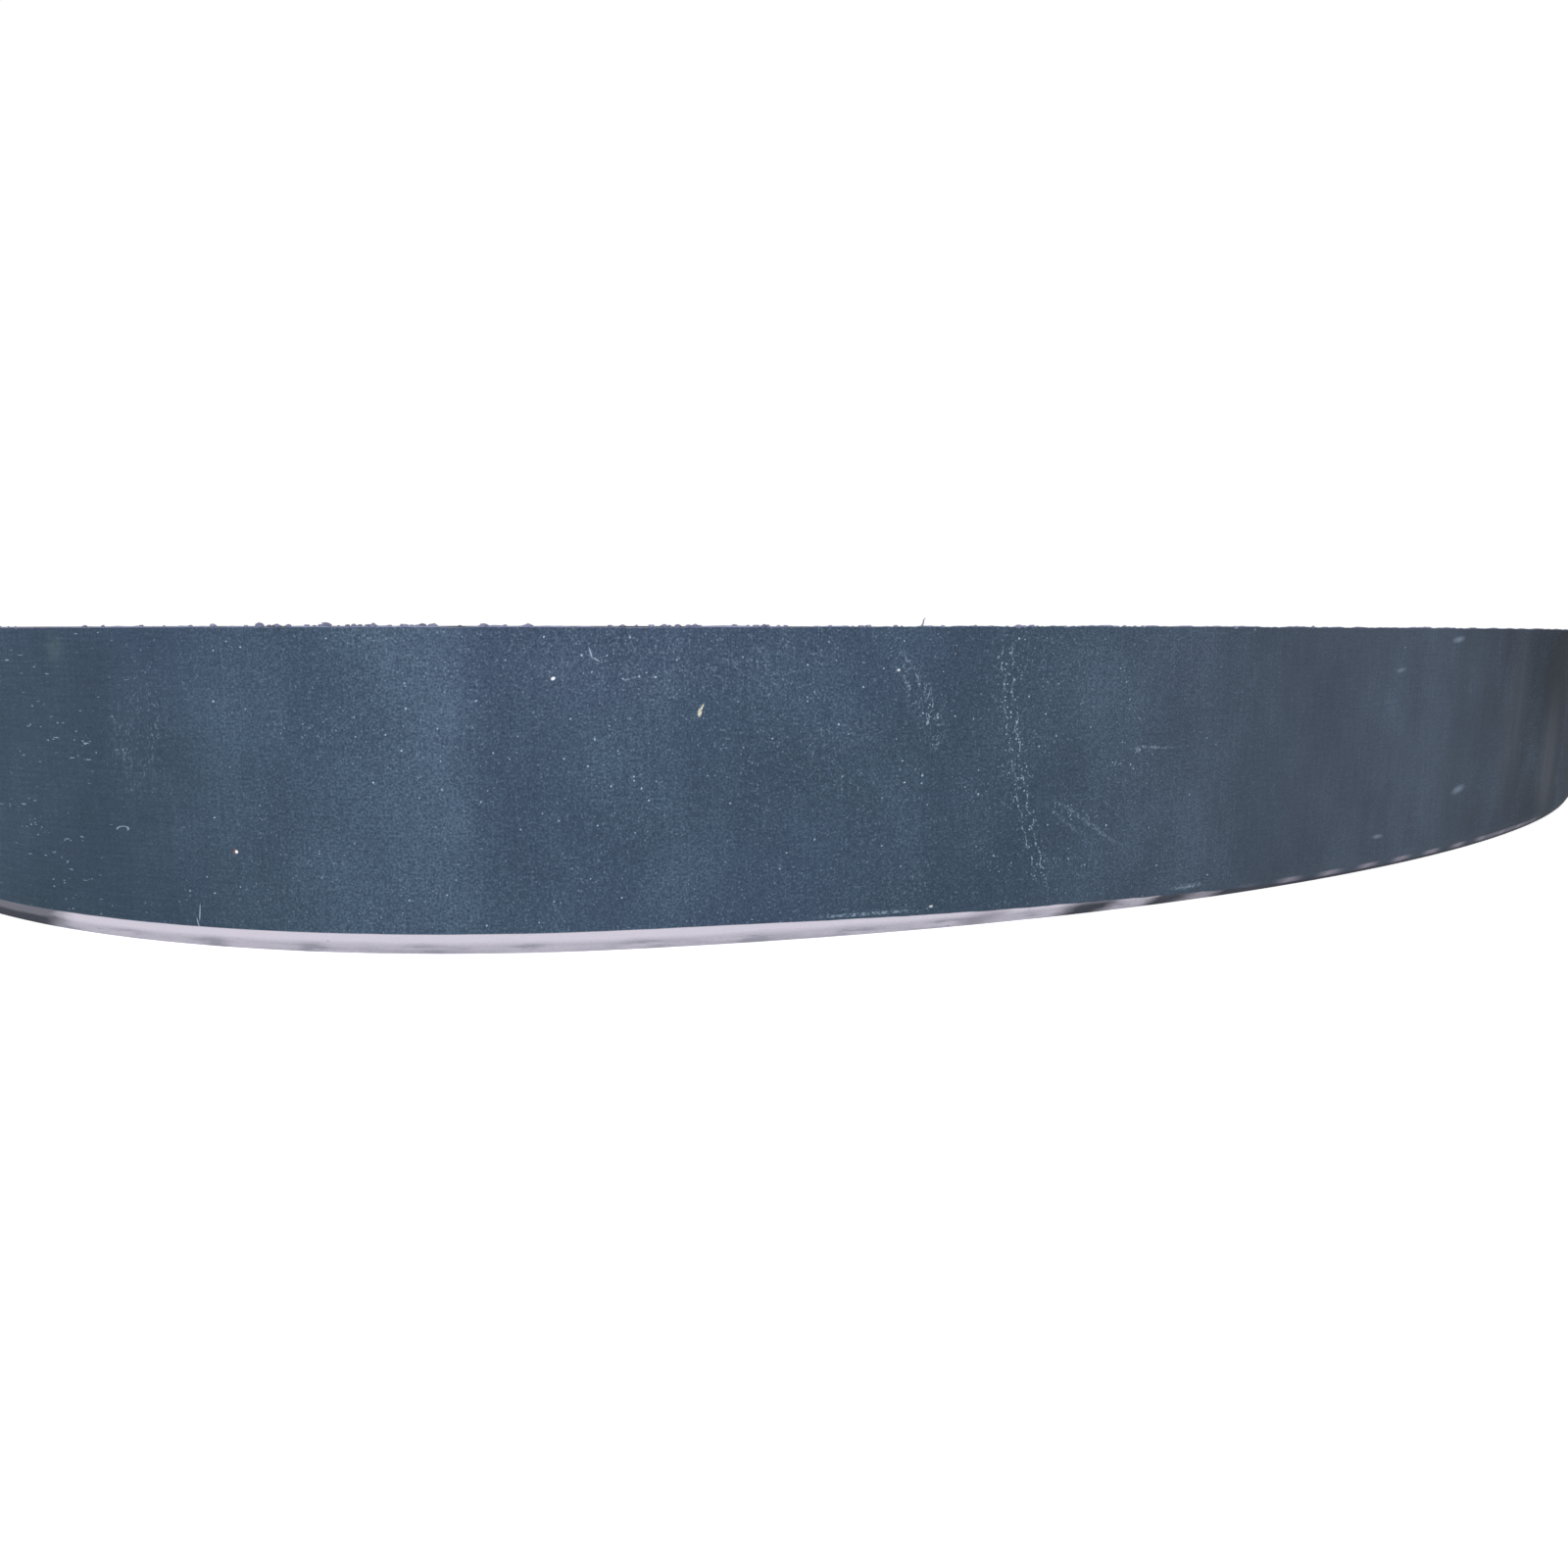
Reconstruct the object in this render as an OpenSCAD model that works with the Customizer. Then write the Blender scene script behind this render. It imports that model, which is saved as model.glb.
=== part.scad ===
// Smooth-faced endless rubber track, lying on one side edge.
// The loop is a chain of flex segments. Every segment is one arc of constant
// curvature whose centreline is the row of tension cords, so the cord length
// never changes when the segments turn against each other.
// Frame: origin at the middle of the loop on the ground, X along the long axis
// of the oval, Z up along the track width. Millimetres.

/* [Track] */
// Width of the track, edge to edge
track_w = 180; // [150:5:230]
// Drive pitch, from one drive lug to the next
pitch = 60; // [48:1:90]
// Drive lugs on each flex segment
lugs_per_segment = 7; // [5:1:9]
// How far the loop at rest is from round, 0 being a circle
oval = 0.74; // [0:0.02:0.8]
// How much the sides and ends bend more than the oval's shoulders
shoulder = 0.2; // [0:0.02:0.24]

/* [Tread cover] */
// Thickness of the smooth outer cover
cover_t = 7; // [5:0.5:12]
// Height of the bevel along the lower edge of the cover
bevel_h = 13; // [4:0.5:20]
// Depth of that bevel, which leaves a lip of the cover below it
bevel_d = 6; // [2:0.5:10]
// Least cover rubber left at the thin end of the bevel
cover_lip = 1; // [0.5:0.5:4]
// Height and depth of the small chamfer on the upper edge
top_chamfer = 1; // [0.5:0.5:3]

/* [Breaker ply] */
// Thickness of the fabric ply under the cover
ply_t = 1.5; // [1:0.25:3]
// Rubber between the side edge of the track and the edge of the ply
ply_edge = 6; // [3:0.5:12]

/* [Tension cords] */
// Diameter of one steel cord
cord_d = 3.2; // [2:0.2:5]
// Distance between neighbouring cords of a group
cord_pitch = 10; // [7:0.5:14]
// Cords in each of the two groups
cords_per_group = 6; // [3:1:7]
// Distance between the two groups' middles
group_spacing = 90; // [70:5:110]
// Carcass rubber from the cord centres out to the ply
cord_cover_out = 5; // [4:0.5:8]
// Carcass rubber from the cord centres in to the drive side
cord_cover_in = 8.5; // [6:0.5:14]

/* [Drive lugs] */
// Length of a drive lug along the track, where it leaves the carcass
lug_base = 30; // [22:1:40]
// Length of a drive lug along the track, at its crown
lug_crown = 20; // [12:1:30]
// Height of a drive lug above the carcass
lug_h = 13; // [8:1:20]
// Gap between the end of a drive lug and the side edge of the track
lug_inset = 3; // [1:0.5:12]
// Width of a guide horn across the track, at its foot
horn_base = 46; // [30:1:60]
// Width of a guide horn across the track, at its tip
horn_tip = 24; // [12:1:36]
// Height of a guide horn above the crown of its lug
horn_h = 14; // [8:1:24]
// Step from the edge of a lug's crown to the foot of its horn, along the track
horn_step = 1.5; // [0.5:0.5:4]
// Lean of the horn's front and back faces, from foot to tip
horn_lean = 3; // [1:0.5:5]

/* [Joints between segments] */
// Space between the rubber ends of two neighbouring segments
flex_gap = 3.6; // [2:0.2:8]
// Space between the cord ends of two neighbouring segments
cord_gap = 0.8; // [0.6:0.1:2]

/* [Hidden] */
$fn = 64;
SEGMENTS = 12;
KINDS = ["tread_cover", "breaker_ply", "steel_cords", "carcass", "drive_lugs"];

segment_len = pitch * lugs_per_segment;
ply_in = cord_cover_out;
ply_out = ply_in + ply_t;
face_out = ply_out + cover_t;
bevel_depth = min(bevel_d, cover_t - cover_lip);
overcut = 20;

// Two digits, counted from 1 at the front of the loop
function tag(k) = str(k < 9 ? "0" : "", k + 1);

// Turn of the centreline along segment k, in degrees. The turns of opposite
// segments are equal and all of them add up to a full circle.
function turn(k) = 360 / SEGMENTS * (1 - oval * cos(720 * k / SEGMENTS) + shoulder * cos(1440 * k / SEGMENTS));
// Heading of the centreline at the start of segment k; 0 is along +X
function heading(k) = k == 0 ? -turn(0) / 2 : heading(k - 1) + turn(k - 1);
// Radius of the centreline on segment k
function bend_r(k) = segment_len / (turn(k) * PI / 180);
// Step from the start to the end of segment k
function chord(k) = bend_r(k) * [
    sin(heading(k + 1)) - sin(heading(k)),
    cos(heading(k)) - cos(heading(k + 1))];
// Start of segment k, counted from the start of segment 0
function walk(k) = k == 0 ? [0, 0] : walk(k - 1) + chord(k - 1);
// Middle of the loop, halfway between the starts of two opposite segments
middle = walk(SEGMENTS / 2) / 2;
function start_of(k) = walk(k) - middle;
// Centre of curvature of segment k
function bend_centre(k) = start_of(k) + bend_r(k) * [-sin(heading(k)), cos(heading(k))];

// Turns a section drawn as (distance outwards from the cords, height) into
// segment k, stopping half of gap short of each end
module sweep_segment(k, gap) {
    trim = gap / 2 / bend_r(k) * 180 / PI;
    translate([bend_centre(k)[0], bend_centre(k)[1], 0])
        rotate([0, 0, heading(k) - 90 + trim])
            rotate_extrude(angle = turn(k) - 2 * trim, $fn = 180)
                translate([bend_r(k), 0])
                    children();
}

// Places its children at distance s along segment k from the segment's start,
// with their own X along the track and their own Y inwards
module at_station(k, s) {
    translate([bend_centre(k)[0], bend_centre(k)[1], 0])
        rotate([0, 0, heading(k) + s / bend_r(k) * 180 / PI])
            translate([0, -bend_r(k), 0])
                children();
}

// Heights of the cord centres, in two groups either side of the guide horns
cord_heights = [for (side = [-1, 1], i = [0:cords_per_group - 1])
    track_w / 2 + side * group_spacing / 2 + (i - (cords_per_group - 1) / 2) * cord_pitch];

module cord_row_2d() {
    for (z = cord_heights)
        translate([0, z])
            circle(d = cord_d);
}

module ply_2d() {
    translate([ply_in, ply_edge])
        square([ply_t, track_w - 2 * ply_edge]);
}

// Smooth outer face, with the long bevel below and a small chamfer above
module tread_cover(k) {
    color([0.29, 0.35, 0.42])
        sweep_segment(k, flex_gap)
            polygon([
                [ply_out, 0],
                [face_out - bevel_depth, 0],
                [face_out, bevel_h],
                [face_out, track_w - top_chamfer],
                [face_out - top_chamfer, track_w],
                [ply_out, track_w]]);
}

// Woven ply, sealed between the carcass and the cover
module breaker_ply(k) {
    color([0.72, 0.68, 0.58])
        sweep_segment(k, flex_gap)
            ply_2d();
}

// Tension cords along the neutral line
module steel_cords(k) {
    color([0.75, 0.76, 0.78])
        sweep_segment(k, cord_gap)
            cord_row_2d();
}

// Body of the track: holds the cords, seats the ply outside and the lugs inside
module carcass(k) {
    color([0.20, 0.22, 0.25])
        sweep_segment(k, flex_gap)
            difference() {
                translate([-cord_cover_in, 0])
                    square([cord_cover_in + ply_out, track_w]);
                ply_2d();
                cord_row_2d();
            }
}

// Cross bar that the sprocket pushes on, cut to the carcass's inner face
module lug_bar(k, s) {
    seat_r = bend_r(k) - cord_cover_in;
    flank = (lug_base - lug_crown) / 2 / lug_h;
    intersection() {
        at_station(k, s)
            translate([0, cord_cover_in, lug_inset])
                linear_extrude(height = track_w - 2 * lug_inset)
                    polygon([
                        [-lug_base / 2 - flank * overcut, -overcut],
                        [lug_base / 2 + flank * overcut, -overcut],
                        [lug_crown / 2, lug_h],
                        [-lug_crown / 2, lug_h]]);
        translate([bend_centre(k)[0], bend_centre(k)[1], 0])
            cylinder(r = seat_r, h = track_w, $fn = 1440);
    }
}

// Guide horn on the crown of a lug: four leaning faces, so it is a true wedge
module guide_horn(k, s) {
    foot = lug_crown / 2 - horn_step;
    at_station(k, s)
        translate([0, cord_cover_in + lug_h, track_w / 2])
            intersection() {
                translate([0, 0, -horn_base / 2])
                    linear_extrude(height = horn_base)
                        polygon([
                            [-foot, 0],
                            [foot, 0],
                            [foot - horn_lean, horn_h],
                            [horn_lean - foot, horn_h]]);
                rotate([0, -90, 0])
                    translate([0, 0, -lug_base / 2])
                        linear_extrude(height = lug_base)
                            polygon([
                                [-horn_base / 2, 0],
                                [horn_base / 2, 0],
                                [horn_tip / 2, horn_h],
                                [-horn_tip / 2, horn_h]]);
            }
}

module drive_lugs(k) {
    color([0.17, 0.19, 0.22])
        for (i = [0:lugs_per_segment - 1]) {
            lug_bar(k, (i + 0.5) * pitch);
            guide_horn(k, (i + 0.5) * pitch);
        }
}

for (k = [0:SEGMENTS - 1]) {
    tread_cover(k);
    breaker_ply(k);
    steel_cords(k);
    carcass(k);
    drive_lugs(k);
}
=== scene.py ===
"""Looks of a smooth-faced endless rubber track that lies on one side edge.

The band is built in lengths that run from the middle of one flex segment to the middle of the next.
Lengths, heights and radii are metres. Every pattern on the rubber reads the piece's own UV map, whose
first value is the distance along the loop and whose second is the height across the track, in metres.
"""
import math

import bpy
import numpy as np
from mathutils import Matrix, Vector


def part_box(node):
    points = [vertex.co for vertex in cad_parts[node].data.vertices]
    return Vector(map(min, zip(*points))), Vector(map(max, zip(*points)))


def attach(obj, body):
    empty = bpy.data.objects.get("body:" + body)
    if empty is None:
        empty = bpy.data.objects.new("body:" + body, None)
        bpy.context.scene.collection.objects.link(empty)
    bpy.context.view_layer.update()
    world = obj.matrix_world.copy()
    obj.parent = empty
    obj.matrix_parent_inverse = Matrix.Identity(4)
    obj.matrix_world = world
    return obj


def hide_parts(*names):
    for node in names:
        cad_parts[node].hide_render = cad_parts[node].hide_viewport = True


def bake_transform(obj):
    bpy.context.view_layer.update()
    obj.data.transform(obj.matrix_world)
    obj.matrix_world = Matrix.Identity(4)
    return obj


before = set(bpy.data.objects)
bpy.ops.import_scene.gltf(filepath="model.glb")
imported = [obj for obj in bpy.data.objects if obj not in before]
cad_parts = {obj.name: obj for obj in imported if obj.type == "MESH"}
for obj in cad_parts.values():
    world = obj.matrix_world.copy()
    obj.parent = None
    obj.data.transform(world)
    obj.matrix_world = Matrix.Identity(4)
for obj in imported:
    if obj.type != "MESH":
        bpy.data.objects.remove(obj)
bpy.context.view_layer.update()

# ---------------------------------------------------------------- sizes

PITCH = 0.060
LUGS_PER_SEGMENT = 7
SEGMENTS = 12
OVAL = 0.74
SHOULDER = 0.20
SEGMENT_LEN = PITCH * LUGS_PER_SEGMENT
LOOP_LEN = SEGMENT_LEN * SEGMENTS
OPEN_JOINT = 5  # the loop is spliced at the end of this segment
TONGUE = 0.004  # reach of the tongue at the splice into the next end
TONGUE_IN = 0.0006  # depth of that tongue under every face

TRACK_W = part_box("carcass_01")[1][2]
CARCASS_IN = -0.0085
PLY_OUT = 0.0065
FACE_OUT = 0.0135
BEVEL_H = 0.013
BEVEL_D = 0.006

LUG_BASE = 0.030
LUG_CROWN = 0.020
LUG_H = 0.013
LUG_INSET = 0.003
HORN_BASE = 0.046
HORN_TIP = 0.024
HORN_H = 0.014
HORN_FOOT = LUG_CROWN / 2 - 0.0015
HORN_LEAN = 0.003

rng = np.random.default_rng(60180)


# ---------------------------------------------------------------- the loop

class Loop:
    """Centreline of the band on the line of the cords.

    SEGMENTS arcs of equal length meet with a common tangent. Arc k turns by
    (2 pi / SEGMENTS) * (1 - OVAL cos 2u + SHOULDER cos 4u), u being its angle round the loop, and the
    start of each arc is the sum of the chords before it, moved so that the loop's middle is the origin.
    """

    def __init__(self):
        u = 2 * np.pi * np.arange(SEGMENTS) / SEGMENTS
        turn = 2 * np.pi / SEGMENTS * (1 - OVAL * np.cos(2 * u) + SHOULDER * np.cos(4 * u))
        self.heading = np.concatenate([[0], np.cumsum(turn)[:-1]]) - turn[0] / 2
        self.radius = SEGMENT_LEN / turn
        end = self.heading + turn
        chord = np.stack([np.sin(end) - np.sin(self.heading), np.cos(self.heading) - np.cos(end)], 1)
        chord *= self.radius[:, None]
        start = np.concatenate([[[0, 0]], np.cumsum(chord, 0)[:-1]])
        start -= start[SEGMENTS // 2] / 2
        normal = np.stack([-np.sin(self.heading), np.cos(self.heading)], 1)
        self.centre = start + self.radius[:, None] * normal

    def arc(self, s):
        """Heading, radius and centre of curvature at distance s from the start of the first segment."""
        s = np.mod(s, LOOP_LEN)
        k = np.minimum((s / SEGMENT_LEN).astype(int), SEGMENTS - 1)
        return self.heading[k] + (s - k * SEGMENT_LEN) / self.radius[k], self.radius[k], self.centre[k]

    def place(self, s, n, z):
        """Points at distance s along the loop, n outwards from the cords and z up; arrays broadcast."""
        s, n, z = np.broadcast_arrays(np.asarray(s, float), n, z)
        heading, radius, centre = self.arc(s)
        x = centre[..., 0] + (radius + n) * np.sin(heading)
        y = centre[..., 1] - (radius + n) * np.cos(heading)
        return np.stack([x, y, z], -1)


loop = Loop()


def noise_1d(x, cell, seed):
    """Smooth value noise along a line: seeded values at whole cells, joined by a cosine."""
    table = np.random.default_rng(seed).uniform(-1, 1, 4096)
    t = np.asarray(x, float) / cell
    i = np.floor(t).astype(int)
    f = (1 - np.cos(np.pi * (t - i))) / 2
    return table[i % 4096] * (1 - f) + table[(i + 1) % 4096] * f


def soft_step(x, edge):
    """A ramp from 0 to 1 over x = 0 to 1 whose two corners are rounded by the half width edge."""
    return (np.sqrt(x ** 2 + edge ** 2) - np.sqrt((x - 1) ** 2 + edge ** 2) + 1) / 2


def round_corners(points, radii, steps=4):
    """Corner points (..., k, 2) with each corner replaced by a quadratic curve that starts and ends
    its radius away along the two sides, or just under halfway where a side is short. The outline is
    closed."""
    points = np.asarray(points, float)
    radii = np.asarray(radii, float)[:, None]
    before = np.roll(points, 1, -2) - points
    after = np.roll(points, -1, -2) - points
    before_len = np.linalg.norm(before, axis=-1, keepdims=True)
    after_len = np.linalg.norm(after, axis=-1, keepdims=True)
    start = points + before / before_len * np.minimum(radii, 0.45 * before_len)
    end = points + after / after_len * np.minimum(radii, 0.45 * after_len)
    t = np.linspace(0, 1, steps)[:, None, None]
    curve = [(1 - a) ** 2 * start + 2 * a * (1 - a) * points + a ** 2 * end for a in t]
    stacked = np.stack(curve, -2)
    return stacked.reshape(*points.shape[:-2], -1, 2)


# ---------------------------------------------------------------- mesh pieces

def new_piece(name, verts, faces, uv, material, sharp_deg=40):
    """An object from whole arrays: vertices, a list of face index arrays, and (corners, 2) UVs.
    A closed shape that came out inside out is turned by reversing its faces."""
    verts = np.asarray(verts, float).reshape(-1, 3)
    corners = np.concatenate([np.asarray(f).ravel() for f in faces])
    sizes = np.concatenate([np.full(len(f), np.shape(f)[1]) for f in faces])
    starts = np.concatenate([[0], np.cumsum(sizes)[:-1]])
    mesh = bpy.data.meshes.new(name)
    mesh.vertices.add(len(verts))
    mesh.vertices.foreach_set("co", verts.astype(np.float32).ravel())
    mesh.loops.add(len(corners))
    mesh.loops.foreach_set("vertex_index", corners.astype(np.int32))
    mesh.polygons.add(len(sizes))
    mesh.polygons.foreach_set("loop_start", starts.astype(np.int32))
    mesh.update(calc_edges=True)
    layer = mesh.uv_layers.new(name="track")
    layer.data.foreach_set("uv", np.asarray(uv, np.float32).ravel())
    if signed_volume(mesh) < 0:
        mesh.flip_normals()
    mesh.shade_smooth()
    mesh.set_sharp_from_angle(angle=math.radians(sharp_deg))
    mesh.validate()
    mesh.materials.append(material)
    piece = bpy.data.objects.new(name, mesh)
    bpy.context.scene.collection.objects.link(piece)
    return piece


def signed_volume(mesh):
    """Volume from the triangles: the sum of a . (b x c) / 6."""
    mesh.calc_loop_triangles()
    tri = np.empty(len(mesh.loop_triangles) * 3, np.int32)
    mesh.loop_triangles.foreach_get("vertices", tri)
    co = np.empty(len(mesh.vertices) * 3, np.float32)
    mesh.vertices.foreach_get("co", co)
    a, b, c = co.reshape(-1, 3)[tri.reshape(-1, 3)].astype(float).transpose(1, 0, 2)
    return np.einsum("ij,ij->", a, np.cross(b, c)) / 6


def ring_faces(rings, points, offset=0):
    """Quads of a tube of rings x points, closed round each ring."""
    i, j = np.meshgrid(np.arange(rings - 1), np.arange(points), indexing="ij")
    nxt = (j + 1) % points
    quads = np.stack([i * points + j, (i + 1) * points + j, (i + 1) * points + nxt, i * points + nxt], -1)
    return quads.reshape(-1, 4) + offset


def tube(points):
    """Faces of a closed tube from an array of rings (rings, points, 3): the wall and its two ends."""
    rings, count = points.shape[:2]
    first = np.arange(count)[::-1][None]
    last = (np.arange(count) + (rings - 1) * count)[None]
    return [ring_faces(rings, count), first, last]


def corner_uv(faces, values):
    """UVs of every face corner, from one (u, v) for each vertex."""
    return np.concatenate([values[np.asarray(f).ravel()] for f in faces])


def swept_band(name, s, section, material, *extras):
    """A closed section carried along the loop, with extra closed shells in the same mesh.

    section is (n, z) pairs, or an array (len(s), points, 2) where the section changes on the way. The
    UV is the distance along the loop and the distance round the section up to the outer face's height.
    Each extra is lists of points, faces and UVs; its faces are numbered from its own first point.
    """
    section = np.broadcast_to(section, (len(s),) + np.shape(section)[-2:])
    points = loop.place(s[:, None], section[..., 0], section[..., 1])
    faces = tube(points)
    depth = FACE_OUT - section[..., 0]
    low = np.where(section[..., 1] < TRACK_W / 2, -1.0, 1.0)
    height = section[..., 1] + low * depth
    values = [np.stack([np.broadcast_to(s[:, None], height.shape), height], -1).reshape(-1, 2)]
    points = [points.reshape(-1, 3)]
    for more_points, more_faces, more_values in extras:
        first = sum(len(p) for p in points)
        faces += [np.asarray(f) + first for f in more_faces]
        points += more_points
        values += more_values
    return new_piece(name, np.concatenate(points), faces, corner_uv(faces, np.concatenate(values)), material)


class Length:
    """One length of the band, from the middle of a segment to the middle of the next."""

    def __init__(self, k, s0, s1, bodies):
        self.k = k
        self.s0 = s0
        self.s1 = s1
        self.bodies = bodies
        self.tag = "%02d_%02d" % (k % SEGMENTS + 1, (k + 1) % SEGMENTS + 1)
        if len(bodies) == 1:
            self.tag = bodies[0][-2:] + "_splice"

    def stations(self, step):
        """Distances along the loop about a step apart, with both ends included."""
        return np.linspace(self.s0, self.s1, int(round((self.s1 - self.s0) / step)) + 1)

    def attach(self, piece):
        """Bakes the piece's placing into its mesh, or carries it on its one body at the splice."""
        if len(self.bodies) == 1:
            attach(piece, self.bodies[0])
            return
        ends = loop.place(np.array([self.s0, self.s1]), 0.0, 0.0)
        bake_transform(piece)

    def nodes(self, kind):
        """The CAD nodes of one kind whose rubber this length shows."""
        return ["%s_%s" % (kind, body[-2:]) for body in self.bodies]


def all_lengths():
    """The lengths in order round the loop, starting and ending at the splice."""
    out = []
    for k in range(OPEN_JOINT - SEGMENTS, OPEN_JOINT):
        middle = (k + 0.5) * SEGMENT_LEN
        body = "flex_%02d" % (k % SEGMENTS + 1)
        after = "flex_%02d" % ((k + 1) % SEGMENTS + 1)
        if k == OPEN_JOINT - SEGMENTS:
            out.append(Length(k, k * SEGMENT_LEN, middle, [body]))
        if k == OPEN_JOINT - 1:
            out.append(Length(k, middle, (k + 1) * SEGMENT_LEN, [body]))
        else:
            out.append(Length(k, middle, middle + SEGMENT_LEN, [body, after]))
    return out


# ---------------------------------------------------------------- shader kit

class Sock:
    """A value in a material's node tree. Arithmetic on it adds Math nodes."""

    def __init__(self, shader, socket):
        self.shader = shader
        self.socket = socket

    def _math(self, operation, *values):
        return self.shader.node("ShaderNodeMath", {"operation": operation}, *values)

    def __add__(self, other):
        return self._math("ADD", self, other)

    def __sub__(self, other):
        return self._math("SUBTRACT", self, other)

    def __rsub__(self, other):
        return self._math("SUBTRACT", other, self)

    def __mul__(self, other):
        return self._math("MULTIPLY", self, other)

    def __truediv__(self, other):
        return self._math("DIVIDE", self, other)

    def __pow__(self, other):
        return self._math("POWER", self, other)

    __radd__ = __add__
    __rmul__ = __mul__

    def min(self, other):
        return self._math("MINIMUM", self, other)

    def max(self, other):
        return self._math("MAXIMUM", self, other)

    def abs(self):
        return self._math("ABSOLUTE", self)

    def wave(self):
        return self._math("SINE", self)

    def fract(self):
        return self._math("FRACT", self)

    def step(self, low, high):
        """0 below low, 1 above high and a smooth rise between them."""
        return self.shader.node("ShaderNodeMapRange", {"interpolation_type": "SMOOTHSTEP"},
                                self, low, high, 0.0, 1.0)


class Shader:
    """One material and the few ways its nodes are added."""

    def __init__(self, name):
        self.material = bpy.data.materials.new(name)
        self.material.use_nodes = True
        self.tree = self.material.node_tree
        self.tree.nodes.clear()
        self.output = self.tree.nodes.new("ShaderNodeOutputMaterial")

    def node(self, kind, settings, *values, output=0, **named):
        """A node of a kind: its settings first, then values or links for its sockets in order or by name."""
        node = self.tree.nodes.new(kind)
        for key, value in settings.items():
            setattr(node, key, value)
        pairs = list(zip([i for i in node.inputs if i.enabled], values))
        pairs += [(node.inputs[key.replace("_", " ")], value) for key, value in named.items()]
        for socket, value in pairs:
            if isinstance(value, Sock):
                self.tree.links.new(value.socket, socket)
            else:
                socket.default_value = value
        outputs = [o for o in node.outputs if o.enabled]
        return Sock(self, outputs[output])

    def uv(self):
        return self.node("ShaderNodeUVMap", {"uv_map": "track"})

    def along_and_height(self):
        split = self.node("ShaderNodeSeparateXYZ", {}, self.uv())
        return split, Sock(self, split.socket.node.outputs[1])

    def stretched(self, vector, x, y, z=1.0):
        """The pattern space scaled by x, y and z: a larger number makes a finer pattern."""
        return self.node("ShaderNodeVectorMath", {"operation": "MULTIPLY"}, vector, (x, y, z))

    def noise(self, vector, detail=2.0, roughness=0.5, scale=1.0):
        return self.node("ShaderNodeTexNoise", {}, Vector=vector, Scale=scale, Detail=detail,
                         Roughness=roughness)

    def cells(self, vector, output="Distance", randomness=1.0):
        made = self.node("ShaderNodeTexVoronoi", {}, Vector=vector, Scale=1.0, Randomness=randomness)
        return Sock(self, made.socket.node.outputs[output])

    def mix(self, factor, a, b):
        """Colour a turning into colour b as the factor goes from 0 to 1."""
        node = self.tree.nodes.new("ShaderNodeMix")
        node.data_type = "RGBA"
        for index, value in ((0, factor), (6, a), (7, b)):
            if isinstance(value, Sock):
                self.tree.links.new(value.socket, node.inputs[index])
            else:
                node.inputs[index].default_value = value
        return Sock(self, node.outputs[2])

    def span(self, value, low, high, soft):
        """1 between low and high, 0 outside, each side softened over twice soft."""
        return value.step(low - soft, low + soft) * (1 - value.step(high - soft, high + soft))

    def warped(self, vector, scale, amount):
        """The pattern space pushed about by a noise, so that round shapes turn irregular."""
        push = self.node("ShaderNodeTexNoise", {}, output=1, Vector=vector, Scale=scale, Detail=1.0)
        return self.node("ShaderNodeVectorMath", {"operation": "MULTIPLY_ADD"}, push, (amount,) * 3, vector)

    def flecks(self, vector, x, y, size, density, rise=0.25):
        """Scattered specks: one in each cell that is picked, wider in the cells picked most strongly.
        A small rise makes nearly all of them full strength."""
        space = self.stretched(vector, x, y)
        pick = self.node("ShaderNodeSeparateColor", {}, self.cells(space, "Color"))
        keep = (pick - 1 + density).step(0.0, rise)
        return (1 - (self.cells(space) / (keep * 0.6 + 0.4)).step(size * 0.5, size)) * keep

    def reach(self, x, y, wide, tall, turn=0.0, vector=None):
        """Distance from a place on the UV map, measured in half widths of an oval turned by degrees."""
        vector = self.uv() if vector is None else vector
        local = self.node("ShaderNodeMapping", {"vector_type": "TEXTURE"}, vector, (x, y, 0),
                          (0, 0, math.radians(turn)), (wide, tall, 1))
        return self.node("ShaderNodeVectorMath", {"operation": "LENGTH"}, local)

    def spot(self, x, y, wide, tall, turn=0.0, edge=0.4, vector=None):
        """An oval patch round a place on the UV map, turned by degrees; edge is its softness."""
        return 1 - self.reach(x, y, wide, tall, turn, vector).step(1 - edge, 1 + edge)

    def bump(self, height, distance, strength=1.0, normal=None):
        links = {"Height": height, "Distance": distance, "Strength": strength}
        if normal is not None:
            links["Normal"] = normal
        return self.node("ShaderNodeBump", {}, **links)

    def finish(self, **sockets):
        """The surface: a Principled shader whose named sockets take numbers, colours or links."""
        surface = self.node("ShaderNodeBsdfPrincipled", {}, **sockets)
        self.tree.links.new(surface.socket, self.output.inputs["Surface"])
        return self.material


def rgb(r, g, b):
    """A shader colour from 0-255 display values."""
    linear = [(c / 255 / 12.92) if c <= 10 else ((c / 255 + 0.055) / 1.055) ** 2.4 for c in (r, g, b)]
    return (*linear, 1.0)


# ---------------------------------------------------------------- materials

SLATE_DARK = rgb(30, 39, 50)
SLATE_TEAL = rgb(52, 68, 82)
SLATE_BLUE = rgb(57, 70, 90)
SLATE_GREY = rgb(58, 67, 80)
# a darker slate: painted shade over the far stretch of the face
SLATE_END_SHADE = rgb(28, 34, 43)
SLATE_PALE = rgb(90, 109, 128)
DUST = rgb(160, 179, 197)
WHITE_DUST = rgb(210, 216, 222)
CHIP = rgb(206, 202, 182)
# the bevel's pale, partly chalky bloom and partly a painted reflection of the white table
BLOOM_AND_PAINTED_REFLECTION = rgb(184, 179, 190)
# that pale in painted shade, for the bevel's foot and the drive-pitch pulses
BLOOM_IN_PAINTED_SHADE = rgb(130, 130, 141)
BLOOM_DARK = rgb(54, 57, 66)
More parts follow.
